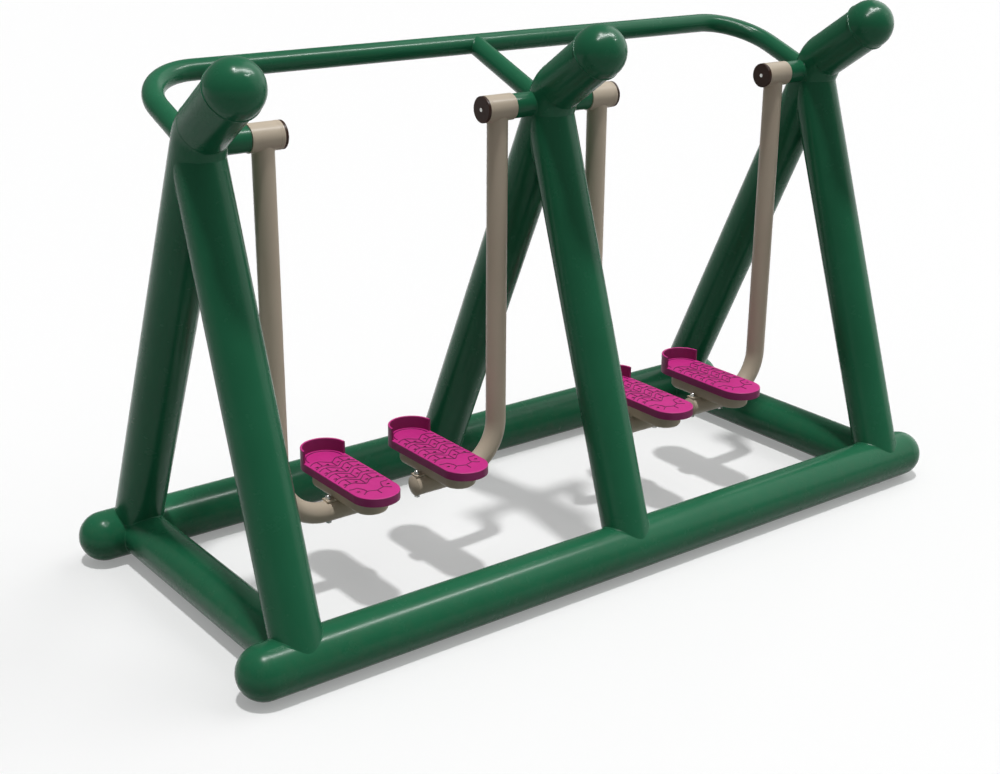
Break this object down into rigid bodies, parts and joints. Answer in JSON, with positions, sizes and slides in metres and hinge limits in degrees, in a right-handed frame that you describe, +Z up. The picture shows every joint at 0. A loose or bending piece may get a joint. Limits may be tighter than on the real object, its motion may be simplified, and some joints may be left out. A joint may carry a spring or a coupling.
{
  "type": "outdoor air walker",
  "caption": "Outdoor air walker: tubular frames on base rails with a handrail, and free-swinging pedals that hang from hubs on bent tubes.",
  "frame": {"origin": "on the floor, midway between the ends and between the two base rails", "axes": "+X along the base rails, +Y the way that the user faces, towards the handrail, +Z up"},
  "size_m": [2.05, 0.8946, 1.249],
  "materials": {
    "green_paint": "gloss",
    "beige_paint": "gloss",
    "brown_plastic": "satin",
    "magenta_plastic": "satin",
    "bright_steel": "polished",
    "bearing_steel": "satin"
  },
  "bodies": {
    "frame": {"front_rail": "green_paint", "rear_rail": "green_paint", "rail_caps": "green_paint", "cross_rail_left": "green_paint", "cross_rail_right": "green_paint", "front_leg_left": "green_paint", "front_leg_middle": "green_paint", "front_leg_right": "green_paint", "post_left": "green_paint", "post_middle": "green_paint", "post_right": "green_paint", "arm_caps": "green_paint", "handrail": "green_paint", "handrail_strut": "green_paint", "axle_bosses": "green_paint", "axle_shafts": "bearing_steel", "bearing_inner_rings": "bearing_steel", "stop_collars": "bearing_steel", "axle_nuts": "bearing_steel", "anchor_bushes": "bearing_steel"},
    "pendulum_1": {"hub_1": "beige_paint", "hub_bearings_1": "bearing_steel", "hub_cap_1": "brown_plastic", "cap_screw_1": "bright_steel", "hanging_tube_1": "beige_paint", "tube_plug_1": "beige_paint", "tray_1": "beige_paint", "pedal_1": "magenta_plastic", "pedal_fixings_1": "bright_steel"},
    "pendulum_2": {"hub_2": "beige_paint", "hub_bearings_2": "bearing_steel", "hub_cap_2": "brown_plastic", "cap_screw_2": "bright_steel", "hanging_tube_2": "beige_paint", "tube_plug_2": "beige_paint", "tray_2": "beige_paint", "pedal_2": "magenta_plastic", "pedal_fixings_2": "bright_steel"},
    "pendulum_3": {"hub_3": "beige_paint", "hub_bearings_3": "bearing_steel", "hub_cap_3": "brown_plastic", "cap_screw_3": "bright_steel", "hanging_tube_3": "beige_paint", "tube_plug_3": "beige_paint", "tray_3": "beige_paint", "pedal_3": "magenta_plastic", "pedal_fixings_3": "bright_steel"},
    "pendulum_4": {"hub_4": "beige_paint", "hub_bearings_4": "bearing_steel", "hub_cap_4": "brown_plastic", "cap_screw_4": "bright_steel", "hanging_tube_4": "beige_paint", "tube_plug_4": "beige_paint", "tray_4": "beige_paint", "pedal_4": "magenta_plastic", "pedal_fixings_4": "bright_steel"}
  },
  "joints": [
    {"name": "swing_1", "type": "hinge", "parent": "frame", "child": "pendulum_1", "pos_m": [-0.737, -0.059, 1.057], "axis": [1, 0, 0], "range_deg": [-50, 50]},
    {"name": "swing_2", "type": "hinge", "parent": "frame", "child": "pendulum_2", "pos_m": [-0.147, -0.059, 1.057], "axis": [1, 0, 0], "range_deg": [-50, 50]},
    {"name": "swing_3", "type": "hinge", "parent": "frame", "child": "pendulum_3", "pos_m": [0.147, -0.059, 1.057], "axis": [1, 0, 0], "range_deg": [-50, 50]},
    {"name": "swing_4", "type": "hinge", "parent": "frame", "child": "pendulum_4", "pos_m": [0.737, -0.059, 1.057], "axis": [1, 0, 0], "range_deg": [-50, 50]}
  ]
}
